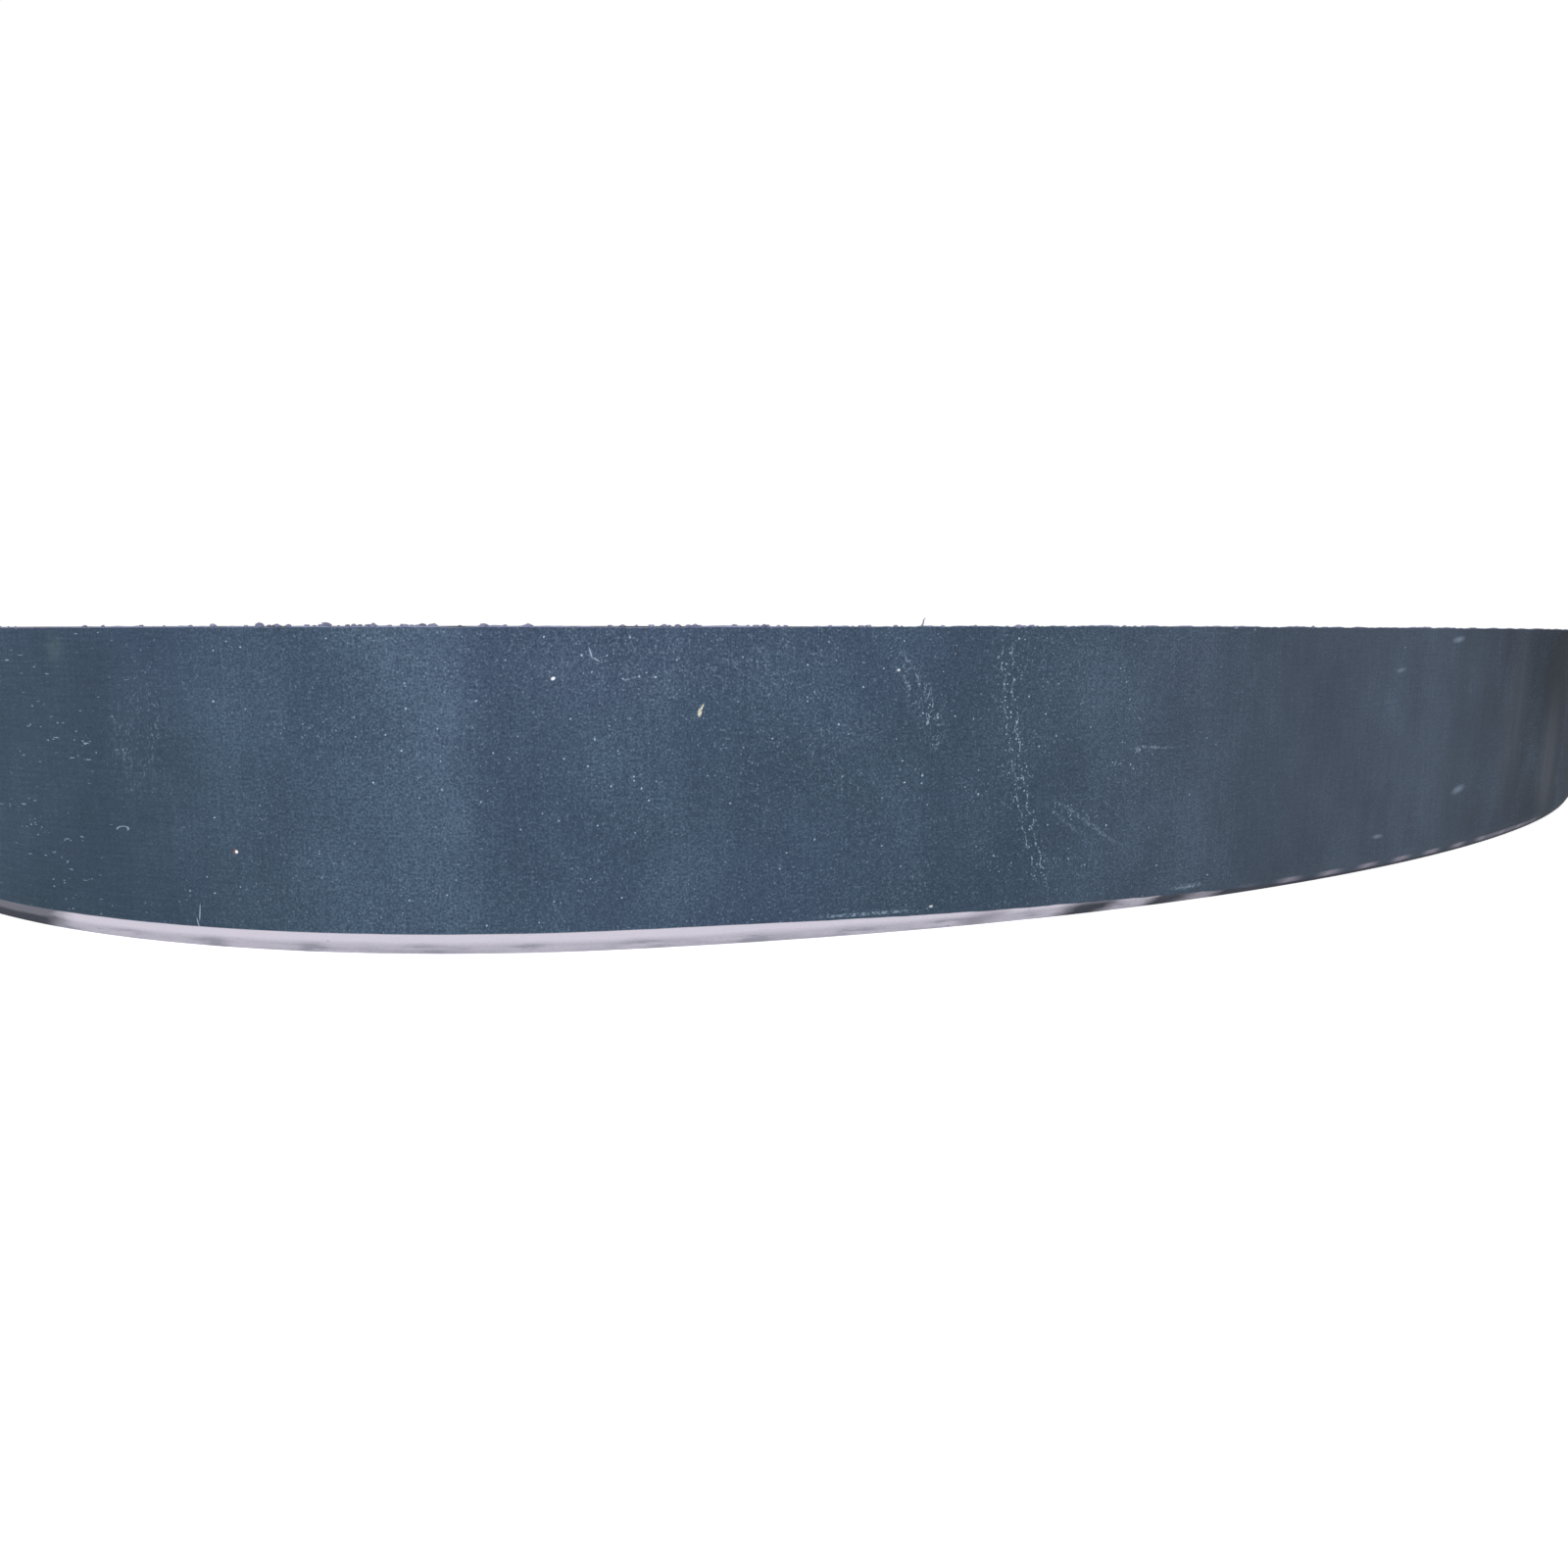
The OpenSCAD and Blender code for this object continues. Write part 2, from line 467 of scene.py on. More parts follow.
# a pale lilac: painted highlight along the upper rim
RIM_HIGHLIGHT = rgb(134, 136, 162)
CRUMB = rgb(82, 88, 110)
CARCASS_DARK = rgb(38, 43, 50)
LUG_DARK = rgb(33, 38, 44)
FOOT_DUST = rgb(98, 103, 108)
RUBBED = rgb(108, 116, 126)


def cover_rubber():
    """Matte slate rubber: mottled skin, dust, broad upright bands, scuffs, painted shade over the far
    stretch, a chalky bevel that also carries a painted reflection, and a painted highlight along the
    upper rim. Crumbs that sit on the upper edge have their own range of heights on the UV map."""
    m = Shader("cover_rubber")
    uv = m.uv()
    along, height = m.along_and_height()
    loose = m.warped(uv, 700.0, 0.0011)

    busy = m.span(along, -0.64, -0.07, 0.12)
    quiet = m.span(along, 0.0, 0.62, 0.14)
    brushed = m.span(along, -1.1, -0.66, 0.08)
    drift = m.noise(m.stretched(uv, 24, 20), detail=3, roughness=0.6)
    drift_wide = m.noise(m.stretched(uv, 7, 8), detail=2)
    upper = height.step(0.09, TRACK_W - 0.004)

    mottle = m.noise(m.stretched(uv, 760, 700), detail=3, roughness=0.7)
    clots = m.noise(m.stretched(uv, 260, 240), detail=3, roughness=0.65)
    rows = m.noise(m.stretched(uv, 30, 620), detail=2)
    threads = m.noise(m.stretched(uv, 420, 34), detail=2)
    broad = m.noise(m.stretched(uv, 9, 1.3), detail=2, roughness=0.5)
    streaks = m.noise(m.stretched(uv, 44, 2.2), detail=3, roughness=0.55)
    shadow = m.noise(m.stretched(uv, 16, 12), detail=3, roughness=0.55)

    rough_share = 0.52 + busy * 0.36 - quiet * 0.12
    tone = ((mottle - 0.5) * 1.5 + (clots - 0.5) * 0.45) * rough_share
    tone = tone + (rows - 0.5) * (brushed * 0.20 + 0.08) + (threads - 0.5) * 0.16 - brushed * 0.10
    tone = tone + m.span(along, -0.645, -0.50, 0.02) * 0.06 - m.span(along, -0.33, -0.16, 0.07) * 0.06
    slow = (broad - 0.5) * 0.26 + (streaks - 0.5) * 0.12 * (1 - quiet * 0.6) + (shadow - 0.5) * 0.34
    away = m.span(along, -2.87, 2.03, 0.07)  # 0 at the splice, where both ends meet in one tone
    tone = tone + slow * away

    hue = (drift_wide - 0.5) * 1.3 * away + upper * 0.35 + m.span(along, -0.57, -0.32, 0.1) * 0.40 + 0.20
    middle = m.mix(hue.max(0.0).min(1.0), SLATE_TEAL, SLATE_BLUE)
    middle = m.mix(along.step(-0.30, 0.10) * along.step(2.0, 0.6), middle, SLATE_GREY)
    # painted shade: the face turns darker over its far stretch, more so towards the upper edge
    end = along.step(0.19, 0.47) * (1 - along.step(0.52, 1.05)) * (0.70 + height.step(0.03, 0.17) * 0.30)
    middle = m.mix(end, middle, SLATE_END_SHADE)
    colour = m.mix((tone * -2.0).max(0.0).min(1.0), middle, SLATE_DARK)
    colour = m.mix((tone * 2.0).max(0.0).min(1.0), colour, SLATE_PALE)

    density = 0.14 + busy * 0.20 - quiet * 0.10 + (drift - 0.5) * 1.0
    density = density + m.spot(-0.40, 0.165, 0.17, 0.045, 0, 0.9) * 0.20
    density = density.max(0.02).min(0.9)
    fine = m.flecks(loose, 640, 600, 0.42, density * 0.75)
    medium = m.flecks(loose, 250, 240, 0.165, density * 0.52, 0.12)
    large = m.flecks(loose, 80, 76, 0.062, density * 0.75, 0.08)
    windblown = (brushed * 0.42 + 0.01) * (drift * 3.0 - 0.9).max(0.0)
    dashes = m.flecks(loose, 84, 540, 0.24, windblown, 0.30).max(m.flecks(loose, 210, 560, 0.26, windblown, 0.30))
    dust = (fine * 0.25).max(medium * 0.90).max(large * 1.0).max(dashes * 0.62)

    broken = m.noise(m.stretched(uv, 500, 460), detail=3, roughness=0.7).step(0.42, 0.60)
    wavy = m.warped(uv, 170.0, 0.006)
    strokes = m.noise(m.stretched(wavy, 320, 100), detail=1)
    curls = (1 - ((strokes - 0.52).abs()).step(0.008, 0.028)) * broken
    grit = m.flecks(loose, 330, 260, 0.24, 0.34, 0.12)
    bend = ((0.175 - height) / 0.15).max(0.0) ** 1.8
    off_trail = along + 0.200 - bend * 0.029
    sway = m.noise(m.stretched(uv, 0, 130), detail=2) - 0.5
    side = (off_trail + sway * 0.008).abs()
    gap = m.noise(m.stretched(uv, 0, 60), detail=1) * 0.0045 + 0.0008
    pieces = m.noise(m.stretched(uv, 240, 120), detail=2).step(0.42, 0.52)
    twin = (1 - ((side - gap).abs()).step(0.0001, 0.0007)) * broken * pieces
    small_grit = m.flecks(loose, 450, 480, 0.30, 0.62, 0.12)
    near_trail = (1 - side.step(0.002, 0.011)) * small_grit
    trail = (twin * 0.75).max(near_trail * 0.9)
    trail = trail * m.span(height, 0.026, 0.170, 0.012)
    scuff = m.spot(-0.252, 0.136, 0.0065, 0.025, 24, 0.8).max(m.spot(-0.300, 0.118, 0.024, 0.007, 15, 0.9) * 0.4)
    patch = m.spot(-0.395, 0.164, 0.070, 0.015, 0, 0.9) * 0.35
    left = m.spot(-0.690, 0.120, 0.016, 0.030, -25, 0.9) * 0.4
    marks = trail.max((scuff * 1.1).max(patch).max(left) * (curls * 0.8).max(grit))
    rough_uv = m.warped(uv, 140.0, 0.0035)
    score = m.spot(-0.138, 0.062, 0.022, 0.0010, -33, 0.9, rough_uv) * 0.45
    score = score.max(m.spot(-0.154, 0.063, 0.014, 0.0009, -38, 0.9, rough_uv) * 0.20)
    score = score.max(m.spot(-0.090, 0.1066, 0.015, 0.0007, -2, 0.9, rough_uv) * 0.40)
    score = score.max(m.spot(-0.102, 0.1062, 0.0026, 0.0012, 30, 0.6, rough_uv) * 0.9)
    score = score.max(m.spot(-0.418, 0.152, 0.004, 0.0006, 15) * 0.6)
    scattered = m.spot(-0.115, 0.0952, 0.015, 0.0034, -8, 0.8).max(m.spot(-0.150, 0.066, 0.014, 0.0060, -30, 0.9) * 0.8)
    score = (score * broken).max(scattered * small_grit * 1.15)
    hairs = m.spot(-0.6594, 0.0215, 0.0045, 0.0004, 82).max(m.spot(-0.6612, 0.0150, 0.0030, 0.0004, 100))
    hairs = hairs.max(m.spot(-0.4375, 0.166, 0.0030, 0.0004, 105))
    hairs = hairs.max(m.spot(-0.4350, 0.1625, 0.0022, 0.0004, 150))
    hook = (1 - ((m.reach(-0.707, 0.0665, 0.0042, 0.0016, 8) - 1).abs()).step(0.08, 0.24)) * height.step(0.0655, 0.0668)
    hairs = hairs.max(hook * 0.9)
    smear = m.spot(-0.055, 0.0120, 0.010, 0.0022, 0, 0.9, rough_uv).max(m.spot(-0.285, 0.0142, 0.024, 0.0010, 0, 0.6))
    dust = dust.max(marks * 0.95).max(score * 0.85).max(hairs * 0.7).max(smear * broken * 0.6)
    dust = dust * (0.75 + (clots - 0.5) * 0.9)
    dust = dust * (1 - m.span(along, 0.30, 1.00, 0.10) * 0.4)
    colour = m.mix(dust.max(0.0).min(1.0), colour, DUST)

    dots = m.spot(-0.4570, 0.1524, 0.0011, 0.0008, 30).max(m.spot(-0.633, 0.0572, 0.0009, 0.0009))
    dots = dots.max(m.spot(-0.245, 0.0158, 0.0012, 0.0007, 10) * 0.6).max(m.spot(-0.268, 0.1556, 0.0009, 0.0007) * 0.7)
    colour = m.mix(m.spot(-0.6338, 0.0574, 0.0016, 0.0015) * 0.4, colour, rgb(130, 76, 60))
    colour = m.mix(dots, colour, WHITE_DUST)
    chip = m.spot(-0.3808, 0.1335, 0.0010, 0.0022, -10).max(m.spot(-0.3795, 0.1362, 0.0004, 0.0020, -26))
    colour = m.mix(chip * (0.55 + broken * 0.45), colour, CHIP)
    olive = m.spot(-0.745, 0.168, 0.006, 0.007, 0, 0.9) * (clots * 0.4)
    colour = m.mix(olive, colour, rgb(90, 104, 100))

    pale_streaks = m.spot(0.352, 0.110, 0.022, 0.060, 0, 0.8) * 0.7
    pale_streaks = pale_streaks.max(m.spot(0.465, 0.058, 0.026, 0.048, 0, 0.8))
    pale_streaks = pale_streaks * (0.36 + (streaks - 0.5) * 0.8)
    colour = m.mix(pale_streaks.max(0.0), colour, rgb(80, 83, 91))
    far = m.spot(0.229, 0.172, 0.0068, 0.0018, 6, 0.9).max(m.spot(0.149, 0.150, 0.0045, 0.0012, 8, 0.9) * 0.8)
    far = far.max(m.spot(0.253, 0.053, 0.0080, 0.0024, 8, 0.9)).max(m.spot(0.138, 0.027, 0.0050, 0.0012, 0, 0.9))
    colour = m.mix(far * 0.22, colour, DUST)
    foot_pulse = ((along * (2 * math.pi / 0.046) + 1.9).wave() * 0.5 + 0.5) ** 1.6
    foot_glow = foot_pulse.max(m.span(along, 0.315, 0.50, 0.03) * 0.6) * m.span(along, 0.02, 0.46, 0.04)
    foot_glow = foot_glow * m.span(height, -0.004, 0.0034, 0.0014) * (0.35 + clots * 0.5)
    colour = m.mix(foot_glow, colour, rgb(140, 134, 146))

    # the bevel's pale: partly chalky bloom, partly a painted reflection of the white table
    colour = m.mix(bevel_mask(m, along, height), colour, bevel_colour(m, uv, along, height, mottle))
    # painted highlight: a pale lilac line round the upper corner of the face, as if lit from above
    lift = m.span(along, -0.275, 0.50, 0.12) * 0.0012
    rim_highlight = (height - lift).step(TRACK_W - 0.0009, TRACK_W - 0.0004) * (0.30 + drift * 0.9)
    rim_highlight = rim_highlight * (1 - height.step(TRACK_W + 0.0016, TRACK_W + 0.0034) * 0.85)
    colour = m.mix(rim_highlight.min(1.0), colour, RIM_HIGHLIGHT)
    # crumbs turn by noise from dark to the same pale lilac as the painted rim highlight
    crumb = height.step(TRACK_W + 0.020, TRACK_W + 0.021)
    crumb_tone = (clots * 2.2 - 0.60).max(0.0).min(1.0)
    colour = m.mix(crumb, colour, m.mix(crumb_tone, CRUMB, RIM_HIGHLIGHT))

    bump = m.bump(mottle * 0.6 + clots * 0.5, 0.0005, 0.5)
    rough = 0.80 + (shadow - 0.5) * 0.12 + (mottle - 0.5) * 0.1
    return m.finish(Base_Color=colour, Roughness=rough, Specular_IOR_Level=0.06, Normal=bump)


def bevel_mask(m, along, height):
    """1 on the pale part of the slanting lower edge, which is partly bloom and partly a painted
    reflection. It covers the whole bevel over most of the loop and thins to a strip along the foot
    over one stretch."""
    thin = along.step(-0.40, -0.11) * (1 - along.step(0.55, 0.9))
    ragged = (m.noise(m.stretched(m.uv(), 60, 8), detail=2) - 0.5) * 0.003
    thinner = along.step(-0.16, 0.06) * (1 - along.step(0.50, 0.8))
    edge = BEVEL_H - thin * 0.0066 - thinner * 0.0085 + ragged * thin
    return 1 - (height - edge).step(-0.0006, 0.0003)


def bevel_colour(m, uv, along, height, mottle):
    """Pale on the bevel, partly chalky bloom and partly a painted reflection of the white table: smooth
    and pale above, with painted shade along the foot and in pulses at the drive pitch, and worn
    through to dark rubber in patches."""
    cloud = m.noise(m.stretched(uv, 34, 150), detail=3, roughness=0.6)
    # painted shade: the bevel turns greyer along its foot, next to the floor
    foot = 1 - (height + (cloud - 0.5) * 0.007).step(0.0004, 0.0075)
    # painted shade in pulses at the drive pitch
    pulse = ((along * (2 * math.pi / PITCH) + 0.9).wave() * 0.5 + 0.5) ** 3.0
    pitch_shade = foot * (pulse * 0.75 + 0.25) * cloud.step(0.35, 0.7)
    grain = m.noise(m.stretched(uv, 420, 900), detail=3, roughness=0.65) - 0.5
    shade = foot * 0.48 + pitch_shade * 0.8 + (cloud - 0.5) * 0.35 + grain * 0.55
    pale = m.mix(shade.max(0.0).min(1.0), BLOOM_AND_PAINTED_REFLECTION, BLOOM_IN_PAINTED_SHADE)
    specks = m.flecks(m.warped(uv, 700.0, 0.0008), 130, 300, 0.20, 0.18)
    pale = m.mix(specks * 0.7, pale, BLOOM_DARK)

    wear = m.noise(m.stretched(uv, 5.0, 20.0), detail=2).step(0.40, 0.60)
    front = m.span(along, -1.00, 0.62, 0.05)
    ragged = along + (cloud - 0.5) * 0.030 - height * 1.2
    kept = m.span(ragged, -0.775, -0.152, 0.014).max(m.span(ragged, -0.116, -0.084, 0.010) * 0.9)
    kept = kept.max(m.span(ragged, -0.054, -0.026, 0.010) * 0.55)
    kept = kept * (1 - m.span(ragged, -0.222, -0.200, 0.012) * 0.40)
    worn = (1 - wear) + (kept - (1 - wear)) * front
    worn = (worn + (cloud - 0.5) * 0.25).max(0.0).min(1.0)
    dark = m.mix(height.step(0.002, 0.006) * 0.45 + (mottle - 0.5) * 0.3, BLOOM_DARK, BLOOM_IN_PAINTED_SHADE)
    return m.mix(worn, dark, pale)


def moulded_rubber(name, dark, pale, dust_amount, worn):
    """Moulded inner rubber: a fine skin, cloudy tone and dust, which gathers along the feet of the
    lugs. Where worn is 1 the corners of the lugs are rubbed pale and their crowns scored and polished.

    beat is |sin(pi s / PITCH)|: 1 on the middle of a lug, 0.87 on its corners and 0.71 at its feet.
    """
    m = Shader(name)
    uv = m.uv()
    along, height = m.along_and_height()
    skin = m.noise(m.stretched(uv, 700, 700), detail=3, roughness=0.6)
    cloud = m.noise(m.stretched(uv, 30, 22), detail=4, roughness=0.6)
    tone = (skin - 0.5) * 0.8 + (cloud - 0.5) * 0.8 + 0.5
    colour = m.mix(tone.max(0.0).min(1.0), dark, pale)
    space = m.stretched(uv, 260, 240)
    pick = m.node("ShaderNodeSeparateColor", {}, m.cells(space, "Color"))
    specks = (1 - m.cells(space).step(0.10, 0.30)) * pick.step(0.82, 0.95)
    beat = (along * (math.pi / PITCH)).wave().abs()
    rubbed = m.noise(m.stretched(uv, 90, 60), detail=3, roughness=0.65).step(0.42, 0.62)
    foot = (1 - ((beat - 0.70).abs()).step(0.02, 0.12)) * (cloud * 1.8 - 0.45).max(0.0).min(1.0)
    crown = beat.step(0.88, 0.92) * worn
    corner = (1 - ((beat - 0.868).abs()).step(0.006, 0.028)) * rubbed * worn
    scores = m.noise(m.stretched(uv, 14, 900), detail=2).step(0.55, 0.68) * crown
    colour = m.mix(foot * 0.40, colour, FOOT_DUST)
    colour = m.mix((corner * 0.60).max(scores * 0.35), colour, RUBBED)
    colour = m.mix(specks * dust_amount, colour, DUST)
    bump = m.bump(skin, 0.0004, 0.45)
    rough = 0.66 + (cloud - 0.5) * 0.2 - crown * 0.14
    return m.finish(Base_Color=colour, Roughness=rough, Specular_IOR_Level=0.32, Normal=bump)


def cord_steel():
    """Brass-coated stranded cord: slanting strand lines round the wire, with duller patches."""
    m = Shader("cord_steel")
    place = m.node("ShaderNodeTexCoord", {}, output=0)
    place = Sock(m, place.socket.node.outputs["Object"])
    lay = m.noise(m.stretched(place, 500, 500, 1400), detail=2)
    patch = m.noise(m.stretched(place, 40, 40, 40), detail=3)
    colour = m.mix(lay.step(0.35, 0.65), rgb(150, 126, 84), rgb(206, 190, 150))
    colour = m.mix(patch.step(0.45, 0.7) * 0.5, colour, rgb(168, 168, 166))
    rough = 0.28 + (lay - 0.5) * 0.2
    return m.finish(Base_Color=colour, Metallic=1.0, Roughness=rough, Normal=m.bump(lay, 0.0003, 0.4))


def ply_fabric():
    """Rubberised square-woven ply: threads up and across, dipped in dark rubber."""
    m = Shader("ply_fabric")
    place = m.node("ShaderNodeTexCoord", {}, output=0)
    place = Sock(m, place.socket.node.outputs["Object"])
    split = m.node("ShaderNodeSeparateXYZ", {}, place)
    up = Sock(m, split.socket.node.outputs[2])
    weft = (up * (math.pi / 0.0012)).wave().abs()
    fuzz = m.noise(m.stretched(place, 300, 300, 300), detail=3)
    colour = m.mix((weft * 0.7 + (fuzz - 0.5) * 0.6).max(0.0).min(1.0), rgb(92, 82, 62), rgb(178, 166, 136))
    return m.finish(Base_Color=colour, Roughness=0.85, Normal=m.bump(weft, 0.0004, 0.5))


COVER = cover_rubber()
CARCASS = moulded_rubber("carcass_rubber", CARCASS_DARK, rgb(74, 82, 92), 0.35, 0)
LUG = moulded_rubber("lug_rubber", LUG_DARK, rgb(68, 75, 84), 0.3, 1)
STEEL = cord_steel()
PLY = ply_fabric()


# ---------------------------------------------------------------- the band's pieces

def cover_section(s):
    """Section of the cover at each distance s: the trimmed upper edge wanders by a fraction of a
    millimetre, and the rest is the CAD outline with its corners rounded."""
    trim = 0.0006 * noise_1d(s, 0.012, 3) + 0.0003 * noise_1d(s, 0.0034, 4)
    trim = trim + 0.0012 * np.clip((s + 0.40) / 0.25, 0, 1) * np.clip((0.60 - s) / 0.20, 0, 1)
    lip = 0.0003 * noise_1d(s, 0.014, 5)
    zero = np.zeros_like(s)
    corners = np.stack([
        np.stack([zero + PLY_OUT, zero], -1),
        np.stack([zero + FACE_OUT - BEVEL_D, zero], -1),
        np.stack([zero + FACE_OUT, BEVEL_H + lip], -1),
        np.stack([zero + FACE_OUT, zero + TRACK_W * 0.35], -1),
        np.stack([zero + FACE_OUT, zero + TRACK_W * 0.65], -1),
        np.stack([zero + FACE_OUT, TRACK_W - 0.0003 + trim], -1),
        np.stack([zero + PLY_OUT, TRACK_W - 0.0003 + trim * 0.3], -1)], -2)
    return round_corners(corners, [0.0001, 0.0005, 0.0012, 0.01, 0.01, 0.0009, 0.0001])


def pebble():
    """Corners and triangles of an octahedron with every edge split once, pushed out to a sphere."""
    corners = [(1, 0, 0), (-1, 0, 0), (0, 1, 0), (0, -1, 0), (0, 0, 1), (0, 0, -1)]
    faces = []
    for x in (0, 1):
        for y in (2, 3):
            for z in (4, 5):
                a, b, c = (x, y, z) if (x + y + z) % 2 == 0 else (x, z, y)
                mids = []
                for p, q in ((a, b), (b, c), (c, a)):
                    point = tuple((np.array(corners[p]) + corners[q]) / 2)
                    if point not in corners:
                        corners.append(point)
                    mids.append(corners.index(point))
                ab, bc, ca = mids
                faces += [(a, ab, ca), (ab, b, bc), (ca, bc, c), (ab, bc, ca)]
    corners = np.array(corners, float)
    return corners / np.linalg.norm(corners, axis=1, keepdims=True), np.array(faces)


PEBBLE, PEBBLE_FACES = pebble()
CRUMB_UV = TRACK_W + 0.03


def crumb_places():
    """Where crumbs sit on the upper edge, as (s, n, half length, half height): crowded along the front
    and in loose groups elsewhere. A few in each group are several times larger than the rest."""
    s = -2.94 + LOOP_LEN * (np.arange(1400) + rng.uniform(0, 1, 1400)) / 1400
    group = noise_1d(s, 0.030, 11) * 0.6 + noise_1d(s, 0.16, 12) * 0.4
    front = np.clip((s + 0.70) / 0.12, 0, 1) * np.clip((0.14 - s) / 0.22, 0, 1)
    chance = 0.08 + 0.48 * front + (0.10 + 0.55 * front) * group
    kept = rng.uniform(0, 1, len(s)) < chance
    s = s[kept]
    big = rng.uniform(0, 1, len(s)) ** 6
    half_len = 0.0005 + 0.0011 * rng.uniform(0, 1, len(s)) + 0.0012 * big + 0.0004 * front[kept]
    half_high = half_len * rng.uniform(0.32, 0.56, len(s))
    n = FACE_OUT - 0.0006 - 0.0035 * rng.uniform(0, 1, len(s)) ** 2
    return np.stack([s, n, half_len, half_high], 1)


CRUMBS = crumb_places()


def crumb_shells(s0, s1):
    """Crumbs between two distances: points on the loop, triangles and UVs, numbered from zero."""
    points, faces, values = [], [], []
    for i, (s, n, half_len, half_high) in enumerate(CRUMBS):
        if s0 <= s < s1:
            own = np.random.default_rng(1000 + i)
            shape = PEBBLE * (1 + own.uniform(-0.28, 0.28, (len(PEBBLE), 1)))
            local = shape * [half_len, half_len * own.uniform(0.6, 0.9), half_high]
            turn = own.uniform(-0.5, 0.5)
            ds = local[:, 0] * math.cos(turn) - local[:, 2] * math.sin(turn) * 0.5
            dz = local[:, 2] + np.abs(local[:, 0]) * 0.15 * math.sin(turn)
            faces.append(PEBBLE_FACES + len(points) * len(PEBBLE))
            points.append(loop.place(s + ds, n + local[:, 1] * 0.8, TRACK_W + half_high * 0.15 + dz))
            values.append(np.stack([s + ds, CRUMB_UV + dz], -1))
    return points, faces, values


def fibre_shell(s0, s1):
    """The one stiff fibre that stands on the upper edge: a five-sided tube along a bent line."""
    s = -0.253
    if not s0 <= s < s1:
        return [], [], []
    t = np.linspace(0, 1, 9)
    line = np.stack([s - 0.002 + 0.0035 * t ** 1.5, 0.0122 + 0.0008 * t, TRACK_W - 0.0004 + 0.0052 * t], -1)
    line[:, 0] += 0.0008 * np.sin(5.0 * t)
    angle = np.arange(5) * 2 * np.pi / 5
    radius = 0.0006 * (1 - 0.5 * t)[:, None]
    ring = np.stack([line[:, :1] + radius * np.cos(angle), line[:, 1:2] + radius * np.sin(angle),
                     np.broadcast_to(line[:, 2:], (9, 5))], -1)
    points = loop.place(ring[..., 0], ring[..., 1], ring[..., 2])
    values = np.stack([ring[..., 0], CRUMB_UV + ring[..., 2] - TRACK_W], -1)
    return [points.reshape(-1, 3)], tube(points), [values.reshape(-1, 2)]


def with_tongue(length, s, section):
    """Distances and sections of a band, which at the open splice ends in a tongue: the last section
    drawn in by TONGUE_IN on every side. It lies inside the next end, and fills the crease that opens
    there as the loop bends."""
    section = np.broadcast_to(section, (len(s),) + np.shape(section)[-2:])
    if length.tag != "%02d_splice" % OPEN_JOINT:
        return s, section
    last = section[-1:]
    high = last.max(1, keepdims=True)
    low = last.min(1, keepdims=True)
    middle = (high + low) / 2
    tongue = middle + (last - middle) * (1 - TONGUE_IN / (high - middle))
    return np.append(s, [s[-1], s[-1] + TONGUE]), np.concatenate([section, tongue, tongue])


def make_cover(length):
    """The cover over one length, with the crumbs and the fibre that lie on its upper edge."""
    s = length.stations(0.0015)
    piece = swept_band("cover_" + length.tag, *with_tongue(length, s, cover_section(s)), COVER,
                       crumb_shells(length.s0, length.s1), fibre_shell(length.s0, length.s1))
    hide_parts(*length.nodes("tread_cover"))
    length.attach(piece)


def make_carcass(length):
    """The rubber body between cover and lugs, with rounded inner corners."""
    corners = [[PLY_OUT, 0], [PLY_OUT, TRACK_W], [CARCASS_IN, TRACK_W], [CARCASS_IN, 0]]
    section = round_corners(corners, [0.0001, 0.0001, 0.003, 0.003], 5)
    piece = swept_band("carcass_" + length.tag, *with_tongue(length, length.stations(0.006), section), CARCASS)
    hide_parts(*length.nodes("carcass"))
    length.attach(piece)


def lug_rings():
    """One drive lug with its guide horn, as rings across the track: (stations, points, (t, h, z)).

    t is the distance along the track from the lug's middle and h the height above the carcass. The
    bar's outline is a trapezoid that swells from nothing at each end; the horn's ramp lifts the middle
    of the crown and draws its faces in as it rises.
    """
    half = TRACK_W / 2
    end = half - LUG_INSET
    z = np.concatenate([
        -end + np.array([0.0, 0.0005, 0.0012, 0.002, 0.003, 0.0045, 0.007]),
        np.linspace(-end + 0.012, -HORN_BASE / 2 - 0.004, 5),
        np.linspace(-HORN_BASE / 2 - 0.0015, -HORN_TIP / 2 + 0.0025, 12),
        np.linspace(-HORN_TIP / 2 + 0.005, 0, 3)])
    z = np.concatenate([z, -z[-2::-1]])
    bar = soft_step((end - np.abs(z)) / 0.0028, 0.16)
    bar = bar - bar[0]
    horn = soft_step((HORN_BASE / 2 - np.abs(z)) / ((HORN_BASE - HORN_TIP) / 2), 0.08)
    horn = np.where(np.abs(z) > HORN_BASE / 2 + 0.003, 0, horn)
    one = np.ones_like(z)
    crown = LUG_H * bar
    top = crown + HORN_H * horn
    foot = LUG_CROWN / 2 + (LUG_BASE - LUG_CROWN) / 2
    side = [
        (one * (foot + 0.002), -0.0006 * one),
        (one * (foot + 0.0015), 0.0001 * one),
        (one * foot, 0.0002 + 0.0 * one),
        (one * LUG_CROWN / 2, crown),
        (one * HORN_FOOT, crown + 0.0002 * horn),
        (HORN_FOOT - 0.0004 - (HORN_LEAN - 0.0004) * horn, top)]
    right = np.stack([np.stack([t, h], -1) for t, h in side], -2)
    left = right[:, ::-1] * [-1, 1]
    outline = round_corners(np.concatenate([right, left], -2),
                            [0.0002, 0.0002, 0.002, 0.0022, 0.0006, 0.0018,
                             0.0018, 0.0006, 0.0022, 0.002, 0.0002, 0.0002], 5)
    heights = np.broadcast_to(z[:, None, None] + half, outline.shape[:2] + (1,))
    return np.concatenate([outline, heights], -1)


LUG_RINGS = lug_rings()


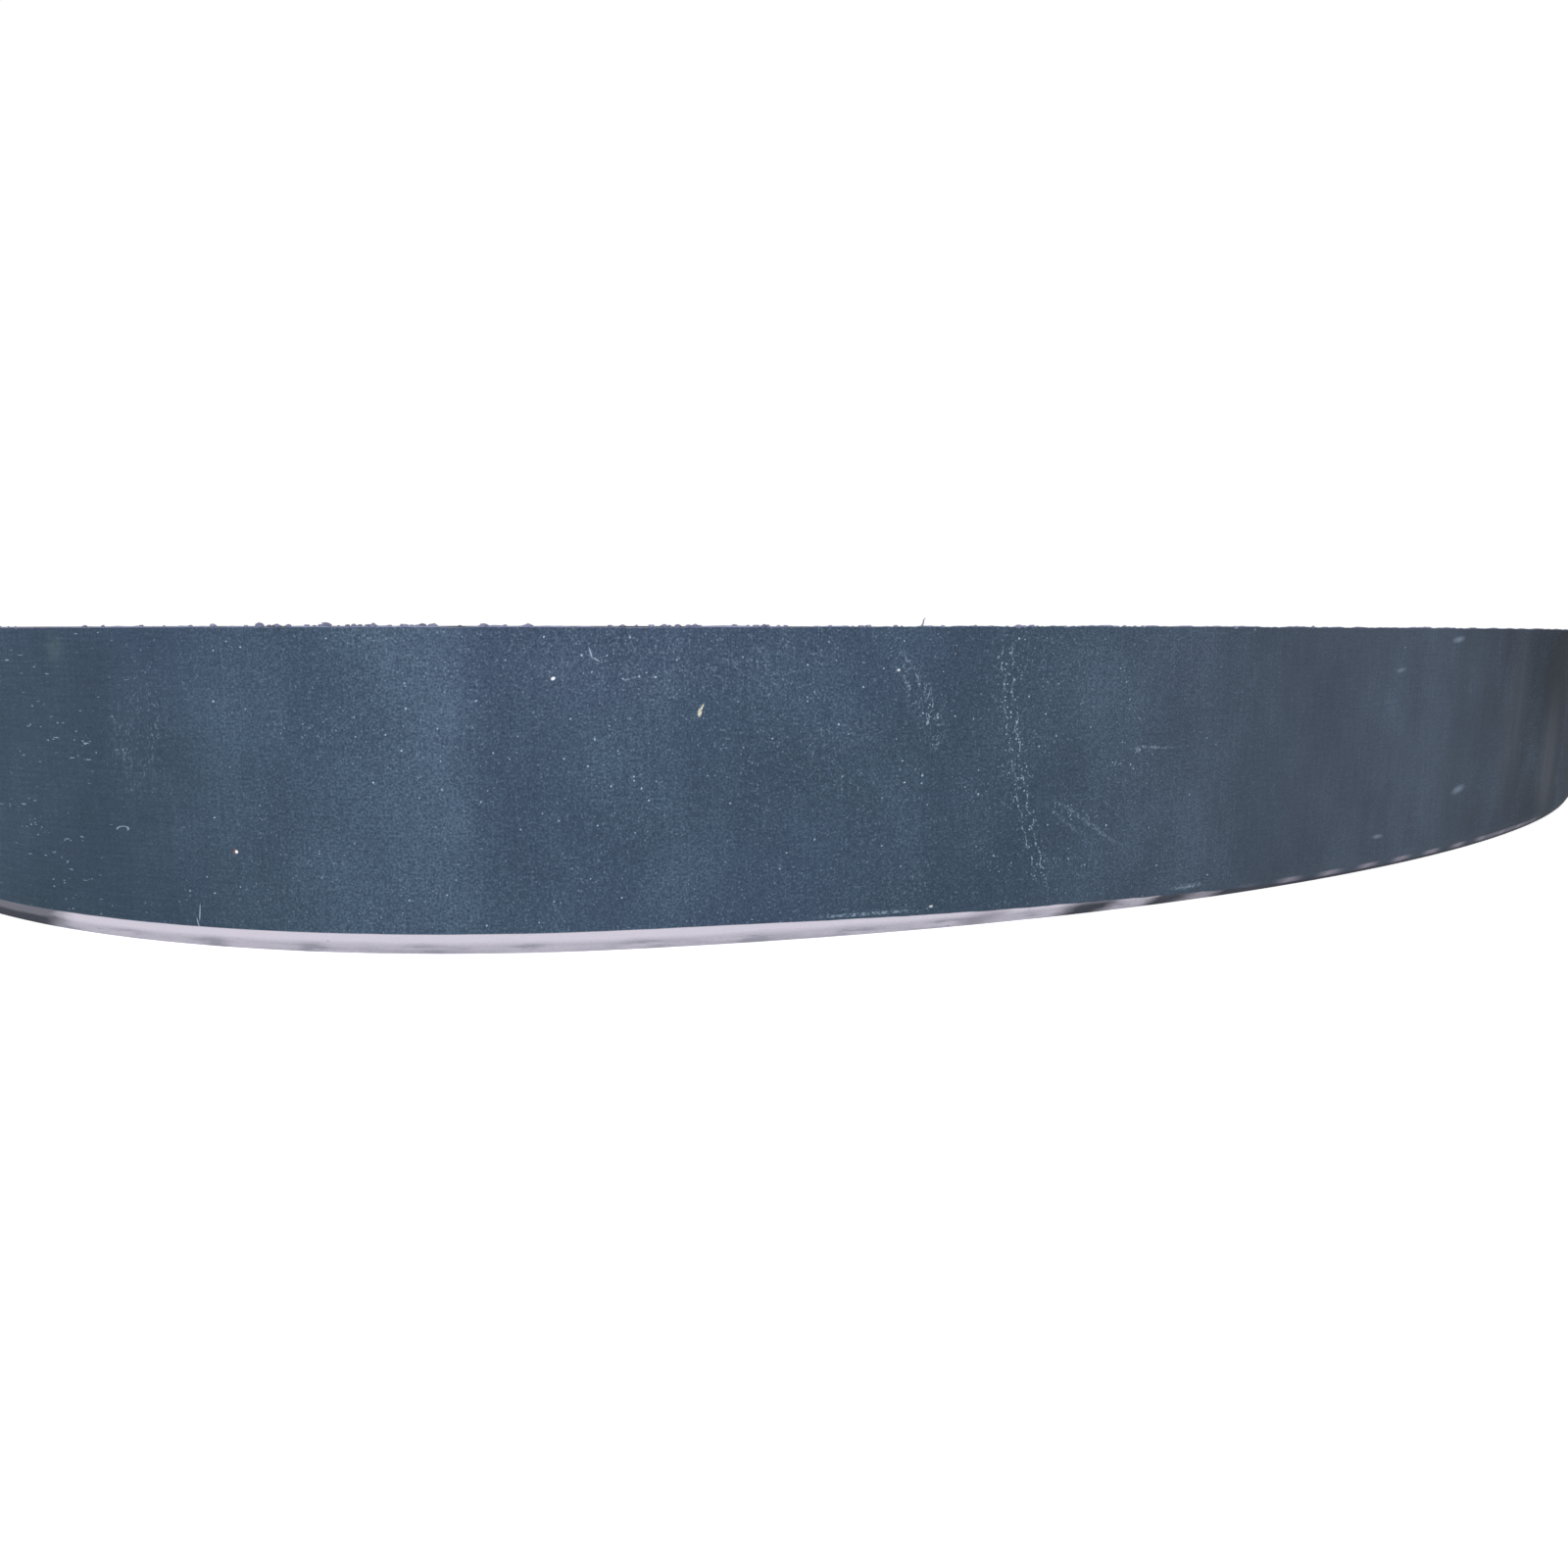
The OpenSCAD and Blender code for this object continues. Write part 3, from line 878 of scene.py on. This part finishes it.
def make_lugs(length):
    """Every drive lug whose middle lies on this length, joined as one piece."""
    first = int(math.ceil(length.s0 / PITCH - 0.5 - 1e-6))
    last = int(math.ceil(length.s1 / PITCH - 0.5 - 1e-6))
    points, faces, values = [], [], []
    count = 0
    for i in range(first, last):
        s = (i + 0.5) * PITCH
        ring = LUG_RINGS
        place = loop.place(s + ring[..., 0], CARCASS_IN - ring[..., 1], ring[..., 2])
        own = tube(place)
        points.append(place.reshape(-1, 3))
        faces += [f + count for f in own]
        values.append(np.stack([s + ring[..., 0], ring[..., 2] + ring[..., 1]], -1).reshape(-1, 2))
        count += place.shape[0] * place.shape[1]
    values = np.concatenate(values)
    piece = new_piece("lugs_" + length.tag, np.concatenate(points), faces,
                      corner_uv(faces, values), LUG, 50)
    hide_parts(*length.nodes("drive_lugs"))
    length.attach(piece)


LENGTHS = all_lengths()
for one in LENGTHS:
    make_cover(one)
    make_carcass(one)
    make_lugs(one)

for name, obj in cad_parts.items():
    finish = STEEL if name.startswith("steel_cords") else PLY if name.startswith("breaker_ply") else None
    if finish:
        obj.data.materials.clear()
        obj.data.materials.append(finish)


# ---------------------------------------------------------------- stage, light and camera

def make_stage():
    """A wide light table, lit from within, and an even white surround."""
    mesh = bpy.data.meshes.new("floor")
    corners = [(-8, -8, 0), (8, -8, 0), (8, 8, 0), (-8, 8, 0)]
    mesh.from_pydata(corners, [], [(0, 1, 2, 3)])
    floor = bpy.data.objects.new("floor", mesh)
    bpy.context.scene.collection.objects.link(floor)
    m = Shader("floor_white")
    white = (1, 1, 1, 1)
    mesh.materials.append(m.finish(Base_Color=(0.85, 0.85, 0.85, 1), Roughness=0.9, Specular_IOR_Level=0.1,
                                   Emission_Color=white, Emission_Strength=0.6))
    world = bpy.data.worlds.new("studio")
    world.use_nodes = True
    world.node_tree.nodes["Background"].inputs["Color"].default_value = white
    world.node_tree.nodes["Background"].inputs["Strength"].default_value = 1.02
    bpy.context.scene.world = world


def look_rotation(yaw, tilt, roll):
    """Camera angles for a view that faces +Y at zero, turned right by yaw, down by tilt."""
    return math.pi / 2 - tilt, roll, -yaw


def make_camera():
    data = bpy.data.cameras.new("camera")
    data.lens = 22.5
    data.sensor_width = 36.0
    data.clip_start = 0.01
    camera = bpy.data.objects.new("camera", data)
    camera.rotation_mode = "XYZ"
    camera.location = (-0.8273, -0.9797, 0.1748)
    camera.rotation_euler = look_rotation(math.radians(32.1), math.radians(8.6), 0.0)
    bpy.context.scene.collection.objects.link(camera)
    bpy.context.scene.camera = camera


def area_light(name, place, target, size, power):
    data = bpy.data.lights.new(name, "AREA")
    data.shape = "DISK"
    data.size = size
    data.energy = power
    light = bpy.data.objects.new(name, data)
    light.location = place
    direction = np.array(target) - np.array(place)
    yaw = math.atan2(direction[0], direction[1])
    tilt = math.atan2(-direction[2], math.hypot(direction[0], direction[1]))
    light.rotation_euler = look_rotation(yaw, tilt, 0.0)
    bpy.context.scene.collection.objects.link(light)


make_stage()
make_camera()
area_light("key", (-1.6, -1.9, 1.4), (-0.5, -0.5, 0.09), 1.2, 12)
bpy.context.scene.view_settings.view_transform = "Standard"

bpy.context.view_layer.update()
